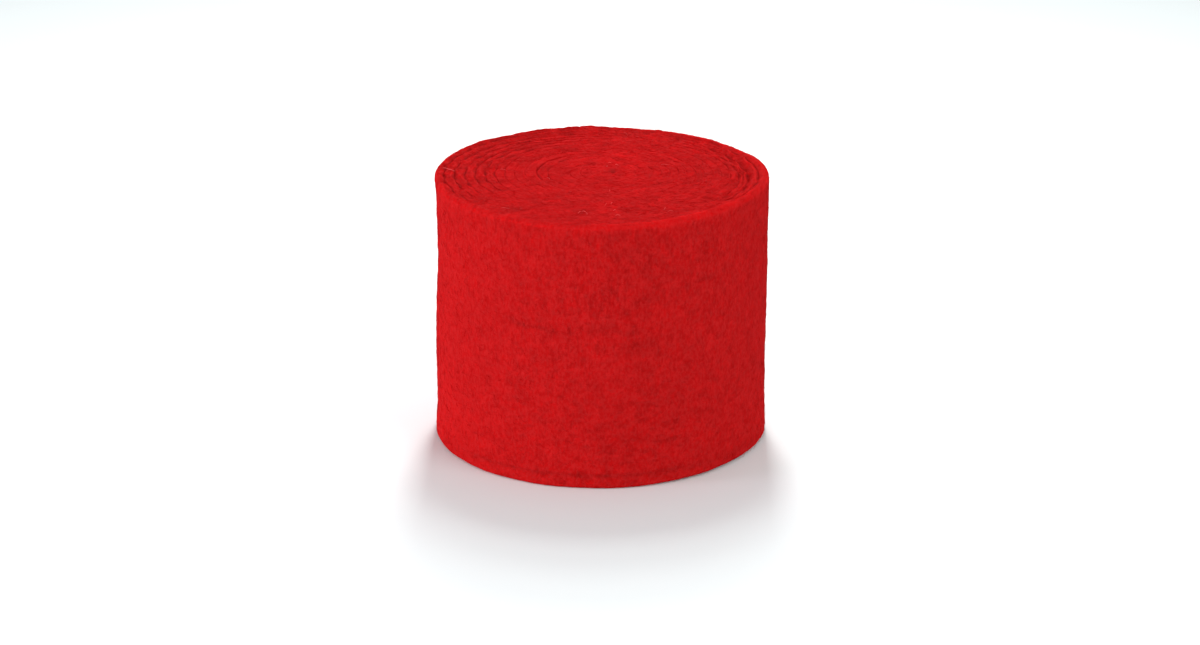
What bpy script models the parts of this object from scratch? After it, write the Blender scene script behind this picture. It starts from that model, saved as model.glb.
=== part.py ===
"""A roll of felt: one long strip of thick wool felt, wound on itself and stood on its end.

Lengths are in metres and directions in degrees, counter-clockwise from +X as seen from above. +Z is
up, the roll stands on z = 0, and its middle is over the origin. Each turn of the strip lies on the
turn before it with a little air between them. The air is uneven, which is what sets the eye of the
roll off its middle and opens the gaps that show in its top.
"""

import math

import bmesh
import bpy
import numpy as np

# The strip as it is cut
TAPE_LENGTH = 5.0
TAPE_WIDTH = 0.150
FELT_THICKNESS = 0.0043
EDGE_ROUNDING = 0.0012

# The winding: the strip's middle line starts at the eye and goes round counter-clockwise
EYE_RADIUS = 0.0038
START_DIRECTION = 221.0

# The air between one turn and the next: its mean, how far it swings round the roll, the direction
# where it is least, the turns over which the swing grows from nothing, and the least it can be
MEAN_AIR = 0.00095
AIR_SWING = 0.00061
TIGHTEST_DIRECTION = 28.0
EVEN_TURNS = 3
LEAST_AIR = 0.00034

# Where a turn stands further from the turn inside it, or closer to it, than the air above says
SLACK_COLUMNS = ("turn", "direction", "half_spread", "extra_air")
SLACK_PLACES = (
    (3, 5.0, 60.0, 0.0005),
    (5, 150.0, 60.0, 0.0006),
    (6, 158.0, 65.0, 0.0018),
    (8, 160.0, 90.0, -0.0005),
    (9, 160.0, 90.0, -0.0005),
    (10, 160.0, 90.0, -0.0005),
    (11, 160.0, 90.0, -0.0005),
    (12, 160.0, 90.0, -0.0004),
    (15, 5.0, 45.0, 0.0006),
    (16, 5.0, 50.0, 0.0024),
)

# Where the strip is wound higher than the floor, or where its top edge sinks
LIFT_COLUMNS = ("turn", "direction", "half_spread", "lift")
LIFT_PLACES = (
    (0, 60.0, 360.0, 0.0012),
    (3, 250.0, 120.0, 0.0007),
    (6, 160.0, 110.0, 0.0009),
    (7, 150.0, 90.0, -0.0014),
    (9, 20.0, 120.0, -0.0008),
    (11, 220.0, 120.0, 0.0006),
    (13, 90.0, 110.0, -0.0007),
    (14, 10.0, 75.0, -0.0024),
    (15, 60.0, 120.0, -0.0010),
    (15, 130.0, 60.0, 0.0010),
    (16, 328.0, 65.0, 0.0015),
)

# Straight steps in one turn, from the eye outwards. Each count is a multiple of the one before, so
# the corners of neighbouring turns stay in line and the turns can't cut each other.
STEP_COLUMNS = ("from_turn", "steps")
STEPS_IN_TURN = ((0, 16), (3, 32), (15, 64))
FINEST_STEPS = STEPS_IN_TURN[-1][-1]

# More turns than the strip is long enough for: the winding ends where the strip does
MOST_TURNS = 24

# Faces that meet at more than the first angle do so at a cut edge of the strip, and faces that meet
# at less than the second are shaded as one smooth surface
CORNER_ANGLE = 60.0
SMOOTH_ANGLE = 30.0

# The felt's finish
FELT_RED = (0.50, 0.010, 0.011, 1.0)
FELT_ROUGHNESS = 0.95


def clear_scene():
    """Takes every object out of the open file's scene."""
    for item in list(bpy.data.objects):
        bpy.data.objects.remove(item, do_unlink=True)


def felt_material():
    """Bright red wool felt, quite without shine."""
    material = bpy.data.materials.new("felt")
    material.use_nodes = True
    shader = material.node_tree.nodes["Principled BSDF"]
    shader.inputs["Base Color"].default_value = FELT_RED
    shader.inputs["Roughness"].default_value = FELT_ROUGHNESS
    shader.inputs["Metallic"].default_value = 0.0
    material.diffuse_color = FELT_RED
    return material


def swell(wound, places, columns):
    """The sum of smooth bumps along the winding, one for each row of a table of places."""
    total = np.zeros_like(wound)
    for place in places:
        row = dict(zip(columns, place))
        into_turn = (row["direction"] - START_DIRECTION) % 360.0
        peak = 360.0 * row["turn"] + into_turn
        away = np.clip(np.abs(wound - peak) / row["half_spread"], 0.0, 1.0)
        total += row[columns[-1]] * (0.5 + 0.5 * np.cos(math.pi * away))
    return total


def air_inside(wound):
    """The air between the strip and the turn inside it."""
    direction = START_DIRECTION + wound
    grown = np.clip(wound / (360.0 * EVEN_TURNS), 0.0, 1.0)
    swing = AIR_SWING * grown * np.cos(np.radians(direction - TIGHTEST_DIRECTION))
    air = MEAN_AIR - swing + swell(wound, SLACK_PLACES, SLACK_COLUMNS)
    return np.maximum(air, LEAST_AIR)


def winding():
    """The strip's middle line from above, at the finest steps: how far it is wound in degrees, X, Y.

    A turn's distance from the eye is that of the turn inside it, plus the felt and the air.
    """
    steps = np.arange(MOST_TURNS * FINEST_STEPS)
    wound = 360.0 * steps / FINEST_STEPS
    pitch = (FELT_THICKNESS + air_inside(wound)).reshape(MOST_TURNS, FINEST_STEPS)
    first_share = np.arange(FINEST_STEPS) / FINEST_STEPS
    pitch[0] = EYE_RADIUS + pitch[0] * first_share
    from_eye = np.cumsum(pitch, axis=0).ravel()
    direction = np.radians(START_DIRECTION + wound)
    x = from_eye * np.cos(direction)
    y = from_eye * np.sin(direction)
    used = np.concatenate(([0.0], np.cumsum(np.hypot(np.diff(x), np.diff(y)))))
    last = int(np.searchsorted(used, TAPE_LENGTH))
    return wound[:last], x[:last], y[:last]


def over_the_middle(x, y):
    """Moves the winding so that the middle of its outline is over the origin."""
    middle_x = 0.5 * (x.min() + x.max())
    middle_y = 0.5 * (y.min() + y.max())
    return x - middle_x, y - middle_y


def corners_kept(count):
    """Which of the finest steps have a corner: fewer of them in the small turns near the eye."""
    steps = np.arange(count)
    turn = steps // FINEST_STEPS
    kept = np.zeros(count, dtype=bool)
    for place in STEPS_IN_TURN:
        row = dict(zip(STEP_COLUMNS, place))
        further_out = turn >= row["from_turn"]
        stride = FINEST_STEPS // row["steps"]
        kept[further_out] = steps[further_out] % stride == 0
    kept[-1] = True
    return kept


def outer_face(x, y):
    """The strip's outer face from above: its middle line, moved out by half the felt."""
    along = np.stack((np.gradient(x), np.gradient(y)), axis=1)
    along /= np.linalg.norm(along, axis=1, keepdims=True)
    half = 0.5 * FELT_THICKNESS
    return x + half * along[:, 1], y - half * along[:, 0]


def stand_ribbon(mesh, x, y, lift):
    """Draws the outer face's bottom edge as a chain and extrudes it up to the strip's top edge.

    Where the lift is above nothing the whole strip is raised by it. Where it is below, only the top
    edge sinks, and the bottom edge stays on the floor.
    """
    foot = np.maximum(lift, 0.0)
    bottom = [mesh.verts.new(place) for place in zip(x, y, foot)]
    chain = [mesh.edges.new(pair) for pair in zip(bottom, bottom[1:])]
    raised = bmesh.ops.extrude_edge_only(mesh, edges=chain)["geom"]
    top = {item for item in raised if isinstance(item, bmesh.types.BMVert)}
    for vert, height in zip(bottom, TAPE_WIDTH + lift):
        upright = next(edge for edge in vert.link_edges if edge.other_vert(vert) in top)
        upright.other_vert(vert).co.z = height
    bmesh.ops.recalc_face_normals(mesh, faces=mesh.faces)


def round_long_edges(mesh):
    """Takes the sharp corners off the strip's cut edges, all along its length.

    The upright corners at the strip's two ends climb its whole width, and they stay as they were cut.
    """
    corner = math.radians(CORNER_ANGLE)
    half_width = 0.5 * TAPE_WIDTH
    long_edges = []
    for edge in mesh.edges:
        low, high = edge.verts
        climb = abs(high.co.z - low.co.z)
        if edge.calc_face_angle(0.0) > corner and climb < half_width:
            long_edges.append(edge)
    bmesh.ops.bevel(
        mesh,
        geom=long_edges,
        offset=EDGE_ROUNDING,
        offset_type="OFFSET",
        segments=1,
        profile=0.5,
        affect="EDGES",
        clamp_overlap=False,
    )


def keep_off_the_floor(mesh):
    """Brings up to the floor the corners that the rounding put a hair below it, on sloping feet."""
    for vert in mesh.verts:
        vert.co.z = max(vert.co.z, 0.0)


def wound_strip(name, collection, material):
    """The whole strip as one closed solid."""
    wound, x, y = winding()
    x, y = over_the_middle(x, y)
    lift = swell(wound, LIFT_PLACES, LIFT_COLUMNS)
    x, y = outer_face(x, y)
    kept = corners_kept(len(x))
    mesh = bmesh.new()
    stand_ribbon(mesh, x[kept], y[kept], lift[kept])
    bmesh.ops.solidify(mesh, geom=mesh.faces[:], thickness=FELT_THICKNESS)
    bmesh.ops.recalc_face_normals(mesh, faces=mesh.faces)
    round_long_edges(mesh)
    keep_off_the_floor(mesh)
    data = bpy.data.meshes.new(name)
    mesh.to_mesh(data)
    mesh.free()
    data.shade_smooth()
    data.set_sharp_from_angle(angle=math.radians(SMOOTH_ANGLE))
    data.materials.append(material)
    strip = bpy.data.objects.new(name, data)
    collection.objects.link(strip)
    return strip


def main():
    """Builds the roll."""
    clear_scene()
    collection = bpy.data.collections.new("roll_of_felt")
    bpy.context.scene.collection.children.link(collection)
    wound_strip("felt_strip", collection, felt_material())


main()
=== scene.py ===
"""A roll of red wool felt, finished for close viewing.

One strip of thick felt is wound on itself and stands on its end. It is one closed surface: a profile
with rounded corners, carried along the winding. Loose wool lies on its upper cut edge and its outer
face, and short hairs stand off that face, as joined meshes of fibres. Lengths are in metres and
directions in degrees, counter-clockwise from +X as seen from above. +Z is up, and the camera looks
from -Y.
"""

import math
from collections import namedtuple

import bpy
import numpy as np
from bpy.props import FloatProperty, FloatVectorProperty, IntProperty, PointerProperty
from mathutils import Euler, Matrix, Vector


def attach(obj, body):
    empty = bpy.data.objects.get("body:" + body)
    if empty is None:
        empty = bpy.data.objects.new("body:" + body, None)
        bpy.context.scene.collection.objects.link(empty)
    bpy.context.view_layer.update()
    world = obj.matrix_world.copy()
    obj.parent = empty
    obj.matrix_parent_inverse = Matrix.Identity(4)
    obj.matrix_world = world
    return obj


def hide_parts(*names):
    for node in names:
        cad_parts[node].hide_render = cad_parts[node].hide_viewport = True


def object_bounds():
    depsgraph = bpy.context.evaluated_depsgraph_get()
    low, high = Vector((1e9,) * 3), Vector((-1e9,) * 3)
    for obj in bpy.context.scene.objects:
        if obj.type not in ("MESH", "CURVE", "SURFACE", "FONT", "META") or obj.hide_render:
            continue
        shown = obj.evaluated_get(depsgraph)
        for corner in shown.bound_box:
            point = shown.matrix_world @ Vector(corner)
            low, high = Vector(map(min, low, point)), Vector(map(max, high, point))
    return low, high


bl_info = {
    "name": "Roll of Felt",
    "version": (1, 0, 0),
    "blender": (4, 5, 0),
    "location": "3D View > Sidebar > Felt Roll",
    "description": "Winds a strip of felt into a roll with loose wool on it, and lights it",
    "category": "Add Mesh",
}

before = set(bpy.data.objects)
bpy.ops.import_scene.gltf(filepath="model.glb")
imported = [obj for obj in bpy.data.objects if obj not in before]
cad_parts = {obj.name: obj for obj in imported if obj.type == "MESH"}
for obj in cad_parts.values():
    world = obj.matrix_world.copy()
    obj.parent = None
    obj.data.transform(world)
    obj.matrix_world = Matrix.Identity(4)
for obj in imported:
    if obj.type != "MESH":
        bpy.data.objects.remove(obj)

CAD_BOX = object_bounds()
BODY = "root"
NODE = "felt_strip"

# Directions at one turn of the winding, and more turns than the strip is long enough for
TURN_STEPS = 720
MOST_TURNS = 24

# Where the winding starts, where it is tightest, and the turns over which that swing grows
START_DIRECTION = 221.0
TIGHTEST_DIRECTION = 28.0
EVEN_TURNS = 3

# Where a turn stands further from the turn inside it, or closer to it, than the mean air says
SLACK_COLUMNS = ("turn", "direction", "half_spread", "extra_air")
SLACK_PLACES = (
    (3, 5.0, 60.0, 0.0005),
    (5, 150.0, 60.0, 0.0006),
    (6, 158.0, 65.0, 0.0018),
    (8, 160.0, 90.0, -0.0005),
    (9, 160.0, 90.0, -0.0005),
    (10, 160.0, 90.0, -0.0005),
    (11, 160.0, 90.0, -0.0005),
    (12, 160.0, 90.0, -0.0004),
    (15, 5.0, 45.0, 0.0006),
    (16, 5.0, 50.0, 0.0024),
)

# Where the strip is wound higher than the floor, or where its top edge sinks
LIFT_COLUMNS = ("turn", "direction", "half_spread", "lift")
LIFT_PLACES = (
    (0, 60.0, 360.0, 0.0006),
    (3, 250.0, 120.0, 0.0007),
    (6, 160.0, 110.0, 0.0009),
    (7, 150.0, 90.0, -0.0014),
    (9, 20.0, 120.0, -0.0008),
    (11, 220.0, 120.0, 0.0006),
    (13, 90.0, 110.0, -0.0007),
    (14, 10.0, 75.0, -0.0024),
    (15, 60.0, 120.0, -0.0010),
    (15, 130.0, 60.0, 0.0010),
    (15, 112.0, 22.0, 0.0016),
    (15, 145.0, 14.0, 0.0006),
    (15, 105.0, 5.0, 0.0010),
    (16, 328.0, 65.0, 0.0015),
    (16, 30.0, 55.0, 0.0009),
    (16, 12.0, 14.0, 0.0006),
    (16, 58.0, 24.0, 0.0006),
    (16, 100.0, 12.0, 0.0008),
)

# Where the winding opens up and its grooves show, seen from above. Elsewhere they have the least share,
# and all of them are broken up along the strip, round a mean.
OPEN_COLUMNS = ("direction", "half_spread", "reach", "half_reach", "share")
OPEN_PLACES = (
    (168.0, 65.0, 0.078, 0.038, 1.0),
    (124.0, 50.0, 0.082, 0.030, 1.2),
    (5.0, 60.0, 0.082, 0.014, 1.0),
    (160.0, 75.0, 0.035, 0.006, 1.7),
    (20.0, 90.0, 0.050, 0.040, 0.15),
    (200.0, 180.0, 0.010, 0.022, 0.15),
)
LEAST_OPEN = 0.04
MEAN_BREAK = 0.9

# Where the whole roll is pressed in or bulges, by direction and height
DENT_COLUMNS = ("direction", "half_spread", "height", "half_height", "push")
DENT_PLACES = (
    (180.0, 70.0, 0.108, 0.048, -0.0012),
    (176.0, 40.0, 0.150, 0.010, 0.0007),
    (180.0, 60.0, 0.020, 0.030, -0.0005),
    (180.0, 60.0, 0.006, 0.020, 0.0006),
    (0.0, 60.0, 0.040, 0.035, -0.0002),
    (340.0, 60.0, 0.003, 0.014, 0.0010),
    (300.0, 50.0, 0.070, 0.060, 0.0004),
)

# Faint creases that run round the outer face, how far they waver and how often in a whole turn, and the
# depth from which their painted shade is as dark as it gets
CREASE_COLUMNS = ("direction", "half_spread", "height", "half_height", "depth", "slope")
CREASE_PLACES = (
    (270.0, 70.0, 0.0075, 0.0013, 0.00020, 0.0),
    (247.0, 17.0, 0.0905, 0.0008, 0.00020, -0.010),
    (281.0, 7.0, 0.0895, 0.0008, 0.00014, -0.004),
    (303.0, 9.0, 0.1130, 0.0008, 0.00014, 0.010),
    (293.0, 10.0, 0.0260, 0.0009, 0.00016, -0.006),
    (60.0, 30.0, 0.0520, 0.0016, 0.00015, 0.008),
    (150.0, 24.0, 0.1010, 0.0015, 0.00014, -0.010),
)
CREASE_WAVER = 0.0006
CREASE_WAVES = 31.0
CREASE_FULL_SHADE_DEPTH = 0.00018

# Painted light and shade on the top: where light is painted on its wool, or shade where the change is
# below nothing, and the painted shade all over it
PAINTED_TOP_COLUMNS = ("x", "y", "spread", "change")
PAINTED_TOP_PLACES = (
    (-0.045, 0.066, 0.038, -0.34),
    (0.015, 0.082, 0.025, -0.16),
    (-0.030, 0.004, 0.012, -0.16),
    (0.006, 0.021, 0.020, 0.42),
    (0.060, 0.006, 0.028, -0.26),
)
PAINTED_TOP_SHADE = -0.17

# Smooth noise, each kind by its wavelength, share and seed: how the top edge strays up and down, how the
# grooves break off and are ragged, the tufts of the cut edge, its blotches along the strip and across
# it, and the lumps of the outer face
EDGE_STRAY = ((0.045, 1.0, 11), (0.014, 0.4, 12))
GROOVE_BREAKS = ((0.016, 0.45, 13),)
GROOVE_RAGS = ((0.006, 0.4, 25),)
EDGE_TUFTS = ((0.0055, 1.0, 21), (0.0036, 0.7, 22))
STRIP_BLOTCHES = ((0.030, 0.12, 23),)
EDGE_BLOTCHES = ((0.008, 0.09, 24), (0.018, 0.10, 26))
FACE_LUMPS = ((0.026, 1.0, 31), (0.010, 0.6, 32), (0.0048, 0.55, 33))

# The share of its stray that the top edge has in the eye, and how high the cut edge's tufts are
LEAST_STRAY = 0.2
TUFT_HEIGHT = 0.00008

# The section's rounded corners: the angles of their points, at the top and at the foot, and how large
# they are at the foot
CORNER_ANGLES = np.radians((0.0, 22.5, 45.0, 67.5, 90.0))
FOOT_ANGLES = np.radians((0.0, 45.0, 90.0))
FOOT_CORNER = 0.0017

# The wool of the cut edge spreads over this share of the air beside it, and at most this far
SPREAD = 0.49
MOST_SPREAD = 0.00125

# How deep a groove is, as a share of how far its soft side reaches in, and how much shade is painted on the
# wool there
GROOVE_DEPTH = 0.50
GROOVE_PAINTED_SHADE = 0.85

# The worn rim, partly real wear and partly a painted highlight: how narrow its band is, where it is most as
# a share of the way down the rim, and in which direction. One place has a brighter painted highlight: its
# direction, half spread and how far down the rim it is. Then how high the painted light near the floor
# reaches.
WEAR_NARROWNESS = 6.0
WEAR_DOWN = 0.5
BRIGHTEST_RIM = 350.0
RIM_HIGHLIGHT = 291.0
RIM_HIGHLIGHT_SPREAD = 42.0
RIM_HIGHLIGHT_DOWN = 0.1
FOOT_PAINTED_LIGHT = 0.035

# How coarse the wool's grain is: full in this direction and least this far round from it. It is even
# on the top, which is all that lies in this layer under the CAD model's highest point.
COARSE_SIDE = 283.0
COARSE_SPREAD = 110.0
LEAST_NAP = 0.4
TOP_NAP = 0.6
TOP_LAYER = 0.003

# The first turn's top is squeezed in over the eye, to this far from its middle and this much lower,
# between these places of the winding: where it starts, where it is full, where it lessens and its end.
# A gap is left in it: its place, its half spread and how much of the squeeze it takes away.
EYE_LEFT = 0.0004
EYE_DIP = 0.0024
EYE_CLOSED = (20.0, 80.0, 270.0, 345.0)
EYE_GAP = (205.0, 60.0, 0.35)

# Shade is painted on the wool round that gap: the middle of the painted shade, and how far it reaches in X
# and Y
EYE_SHADE_MIDDLE = (0.0062, 0.0060)
EYE_SHADE_REACH = (0.0024, 0.0048)

# Rows of points on the face of the outermost turn, and how far apart points are along it and along the
# turns inside it. Over the length given last, beside the tail, its section grows from an inner turn's
# into one with a worn rim.
FACE_ROWS = 72
FINE_STEP = 0.0013
COARSE_STEP = 0.0018
TAIL_OVERLAP = 0.020

# Kinds of loose wool. Places is how many points a fibre has along it. Lengths, thicknesses and arches are
# the least and the most, and thicknesses are multiples of the one that is set. Bend is the spread of how
# far fibres turn, in radians, or a hair's least and most. Off is how far off the felt they start, below
# nothing where they are rooted in it, and rise is how much higher their far end is on average.
Fibre = namedtuple("Fibre", "seed places lengths thickness bend off arch rise", defaults=(None, None))
EDGE_FIBRE = Fibre(101, 4, (0.0015, 0.0050), (0.5, 1.2), 1.2, 0.00003, (0.00002, 0.00014), 0.00012)
FACE_FIBRE = Fibre(102, 4, (0.002, 0.007), (0.5, 1.2), 1.6, 0.00002, (0.0, 0.00016), 0.00007)
HAIR = Fibre(103, 3, (0.0004, 0.0013), (0.3, 0.6), (0.3, 1.3), -0.0001)
STRAY = Fibre(104, 9, (0.0025, 0.0060), (2.0, 3.2), 0.6, 0.0002, (0.0002, 0.0009))

# Where fibres and hairs start on the outer face and where they may reach: the least height, and how far
# under the top edge as a share of the rim's depth. Then how low a hair may reach.
FACE_ROOTS = (0.002, 0.2)
FACE_BAND = (0.0012, 0.1)
HAIR_ROOTS = (0.001, 0.1)
HAIR_LOWEST = 0.0004

# How thick strewn stray fibres are beside the placed ones, and how far from the middle they lie
STREWN_THICKNESS = 0.6
STREWN_REACH = 0.088

# How strongly a fibre wavers, least and most, and how fast, how much thinner its ends are, and how
# steeply it has to start for the sides of its tube to be set off from +X instead of +Z
WAVER = (0.2, 0.8)
WAVER_PACE = 5.0
END_TAPER = 0.66
UPRIGHT = 0.8

# What is known at each place of the winding: how far it is wound, the middle line, the air at each side,
# how open it is, the heights of the top edge here and on the turns inside and outside it and of the foot,
# the way out, and the length of strip up to it. Reach is every turn's distance from the eye at the
# directions of one turn, and shift is the middle of the roll as seen from the eye.
CARRIED = ("wound", "x", "y", "air_in", "air_out", "slack", "top", "top_in", "top_out", "foot")
Winding = namedtuple("Winding", (*CARRIED, "out", "along", "reach", "shift"))

# Pale fibres that lie loose on the top: X and Y where each starts, its length, and which way it heads
STRAY_PLACES = (
    (-0.088, 0.008, 0.0090, -25.0),
    (-0.085, 0.004, 0.0045, -5.0),
    (0.003, 0.019, 0.0020, 0.0),
    (0.002, 0.012, 0.0018, 20.0),
    (0.007, 0.016, 0.0022, -20.0),
    (0.004, -0.033, 0.0025, 70.0),
    (0.005, -0.056, 0.0030, 110.0),
    (0.006, -0.068, 0.0035, 60.0),
    (0.007, -0.075, 0.0030, 10.0),
    (-0.013, -0.072, 0.0035, 50.0),
    (-0.011, -0.070, 0.0030, -20.0),
    (-0.008, -0.074, 0.0030, 100.0),
)

# The sheen of wool, which all the finishes have
WOOL_SHEEN = {"sheen_roughness": 0.40, "sheen_tint": (0.90, 0.020, 0.040, 1.0)}

# The soft square lamps: a tall bank behind, which throws the roll's shadow forward, and fill round it
WHITE = (1.0, 1.0, 1.0)
ROSE = (1.0, 0.78, 0.92)
LAMP_COLUMNS = ("name", "direction", "elevation", "distance", "size", "power", "colour")
LAMP_PLACES = (
    ("back_low", 89.0, 47.0, 1.2, 0.18, 5.0, WHITE),
    ("back_middle", 89.0, 58.0, 1.2, 0.18, 3.6, WHITE),
    ("back_high", 89.0, 69.0, 1.2, 0.18, 3.5, WHITE),
    ("left_low", 197.0, 6.0, 1.7, 0.40, 15.0, ROSE),
    ("front", 255.0, 5.0, 2.0, 0.40, 13.5, WHITE),
    ("right_front", 317.0, 32.0, 2.1, 1.20, 16.0, WHITE),
)

# The lamps and the camera aim at this height, the picture is moved by these shares of its width, and
# the camera's sensor is this many millimetres wide
AIM_HEIGHT = 0.075
SHIFT = (-0.00112, -0.01698)
SENSOR_WIDTH = 36.0

# Keeps a division from failing at nothing
TINY = 1e-12


def metres(name, description, default, least=0.0):
    """A length that a user may change."""
    return FloatProperty(name=name, description=description, default=default, min=least, unit="LENGTH")


def number_of(name, description, default, most):
    """A count that a user may change."""
    return IntProperty(name=name, description=description, default=default, min=0, max=most)


def tint(name, description, default):
    """A colour that a user may change."""
    return FloatVectorProperty(
        name=name, description=description, subtype="COLOR", size=3, default=default, min=0.0, max=1.0
    )


def turned(name, description, default):
    """An angle that a user may change, given here in degrees."""
    return FloatProperty(
        name=name, description=description, default=math.radians(default), subtype="ANGLE", unit="ROTATION"
    )


class StripSettings(bpy.types.PropertyGroup):
    """The felt strip and how it is wound."""

    length: metres("Length", "How much felt is wound on the roll", 5.0, 0.5)
    width: metres("Width", "The strip's width, which is the roll's height", 0.150, 0.01)
    thickness: metres("Thickness", "The felt's thickness", 0.0043, 0.001)
    eye_radius: metres("Eye", "Radius of the small opening that the winding starts round", 0.0038, 0.001)
    mean_air: metres("Mean air", "Air between one turn and the next, on average", 0.00095)
    air_swing: metres("Air swing", "How much less air the roll's tight side has than the mean", 0.00061)
    least_air: metres("Least air", "The least air between two turns", 0.00034)
    corner: metres("Corner", "How far in a groove's side reaches where turns lie close", 0.00018, 0.0001)
    open_corner: metres("Open corner", "The same where the winding opens up", 0.0021, 0.0001)
    rim_across: metres("Rim across", "How much of the cut edge the worn rim takes up", 0.0018, 0.0001)
    rim_down: metres("Rim down", "How far down the outer face the worn rim reaches", 0.0035, 0.0001)
    edge_unevenness: metres("Edge unevenness", "How far the top edge strays up and down", 0.00012)
    relief: metres("Relief", "Height of the soft lumps in the felt's outer face", 0.00009)
    colour: tint("Felt colour", "The dyed wool", (0.378, 0.0056, 0.0060))


class WoolSettings(bpy.types.PropertyGroup):
    """The loose fibres on the felt."""

    edge_count: number_of("Edge fibres", "Fibres that lie over the strip's upper cut edge", 9000, 9500)
    face_count: number_of("Face fibres", "Fibres that lie on the roll's outer face", 9000, 9500)
    hair_count: number_of("Hairs", "Short hairs that stand off the outer face and the rim", 12000, 14000)
    stray_count: number_of("Stray fibres", "Long pale fibres strewn on top of the roll", 8, 1000)
    thickness: metres("Fibre thickness", "Diameter of a small lock of wool", 0.00011, 0.00002)


class StageSettings(bpy.types.PropertyGroup):
    """The floor, the lights and the camera."""

    floor_size: metres("Floor", "Side of the square floor", 30.0, 1.0)
    floor_white: tint("Floor white", "The floor's paper, a cool white", (0.81, 0.87, 0.87))
    room_light: FloatProperty(
        name="Room light",
        description="Brightness of the white room round the roll",
        default=0.52,
        min=0.0,
    )
    lamp_light: FloatProperty(
        name="Lamp light",
        description="How much of their usual power the soft lamps have",
        default=1.0,
        min=0.0,
        subtype="FACTOR",
    )
    camera_distance: metres("Camera distance", "From the camera to the middle of the roll", 2.03, 0.3)
    camera_elevation: turned("Camera elevation", "How far the camera looks down", 19.38)
    camera_roll: turned("Camera roll", "How far the camera leans, counter-clockwise", 0.418)
    camera_lens: FloatProperty(
        name="Camera lens",
        description="Focal length in millimetres, on a sensor 36 mm wide",
        default=109.11,
        min=10.0,
        unit="CAMERA",
    )


def rows(places, columns):
    """The rows of a table, each with its values by the names of the columns."""
    return [dict(zip(columns, place)) for place in places]


def hump(away, half_spread):
    """A raised cosine: (1 + cos(pi * away / half_spread)) / 2, which is 1 at the middle and 0 outside."""
    return 0.5 + 0.5 * np.cos(np.pi * np.clip(np.abs(away) / half_spread, 0.0, 1.0))


def turn_from(direction, middle):
    """How far a direction is turned from another, between -180 and 180."""
    return (direction - middle + 180.0) % 360.0 - 180.0


def polar(x, y):
    """How far places are from the middle, and in which direction."""
    return np.hypot(x, y), np.degrees(np.arctan2(y, x))


def unit(vectors):
    """Vectors made one long."""
    return vectors / (np.linalg.norm(vectors, axis=-1, keepdims=True) + TINY)


def bumps(wound, places, columns):
    """The sum of raised cosines along the winding, one for each row of a table."""
    total = np.zeros_like(wound)
    for row in rows(places, columns):
        peak = 360.0 * row["turn"] + (row["direction"] - START_DIRECTION) % 360.0
        total += row[columns[-1]] * hump(wound - peak, row["half_spread"])
    return total


def patches(direction, measure, places, columns):
    """The sum of raised cosines by direction and by a second measure, one for each row of a table."""
    total = np.zeros_like(measure)
    middle, half_width, value = columns[2:]
    for row in rows(places, columns):
        side = hump(turn_from(direction, row["direction"]), row["half_spread"])
        total += row[value] * side * hump(measure - row[middle], row[half_width])
    return total


def ripple(points, wavelength, seed, waves=28):
    """Smooth noise with a mean of 0 and a spread of 1: plane waves in random directions.

    sqrt(2 / waves) * the sum of cos(2 pi * point . direction / length + phase), each length between 0.7
    and 1.4 wavelengths.
    """
    draw = np.random.default_rng(seed)
    directions = draw.normal(size=(points.shape[-1], waves))
    directions /= np.linalg.norm(directions, axis=0)
    lengths = wavelength * draw.uniform(0.7, 1.4, waves)
    phases = draw.uniform(0.0, 2.0 * np.pi, waves)
    angles = points @ (2.0 * np.pi * directions / lengths) + phases
    return np.sqrt(2.0 / waves) * np.cos(angles).sum(axis=-1)


def ripples(points, kinds):
    """The sum of share * ripple over a table of kinds of noise."""
    return sum(share * ripple(points, wavelength, seed) for wavelength, share, seed in kinds)


def air_inside(strip, wound):
    """The air between the strip and the turn inside it: mean - swing * cos(direction) + slack."""
    direction = START_DIRECTION + wound
    grown = np.clip(wound / (360.0 * EVEN_TURNS), 0.0, 1.0)
    swing = strip.air_swing * grown * np.cos(np.radians(direction - TIGHTEST_DIRECTION))
    air = strip.mean_air - swing + bumps(wound, SLACK_PLACES, SLACK_COLUMNS)
    return np.maximum(air, strip.least_air)


def wind(strip):
    """The strip's middle line from above, with what the felt meets along it.

    A turn's distance from the eye is that of the turn inside it, plus the felt and the air, so the
    distance is the running sum of the pitches at the same direction.
    """
    wound = 360.0 * np.arange(MOST_TURNS * TURN_STEPS) / TURN_STEPS
    air = air_inside(strip, wound)
    pitch = (strip.thickness + air).reshape(MOST_TURNS, TURN_STEPS)
    pitch[0] = strip.eye_radius + pitch[0] * np.arange(TURN_STEPS) / TURN_STEPS
    reach = np.cumsum(pitch, axis=0)
    direction = np.radians(START_DIRECTION + wound)
    x = reach.ravel() * np.cos(direction)
    y = reach.ravel() * np.sin(direction)
    along = np.concatenate(([0.0], np.cumsum(np.hypot(np.diff(x), np.diff(y)))))
    used = slice(0, int(np.searchsorted(along, strip.length)))
    x, y, wound, along = x[used], y[used], wound[used], along[used]
    shift = np.array([(x.min() + x.max()) / 2.0, (y.min() + y.max()) / 2.0])
    ahead = unit(np.stack((np.gradient(x), np.gradient(y)), axis=1))
    lift = bumps(wound, LIFT_PLACES, LIFT_COLUMNS)
    top = strip.width + lift + edge_stray(strip, wound, along)
    return Winding(
        wound=wound,
        x=x - shift[0],
        y=y - shift[1],
        air_in=air[used],
        air_out=air_inside(strip, wound + 360.0),
        slack=openness(x - shift[0], y - shift[1], along),
        top=top,
        top_in=np.interp(wound - 360.0, wound, top),
        top_out=np.interp(wound + 360.0, wound, top),
        foot=np.maximum(lift, 0.0),
        out=np.stack((ahead[:, 1], -ahead[:, 0]), axis=1),
        along=along,
        reach=reach,
        shift=shift,
    )


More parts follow.
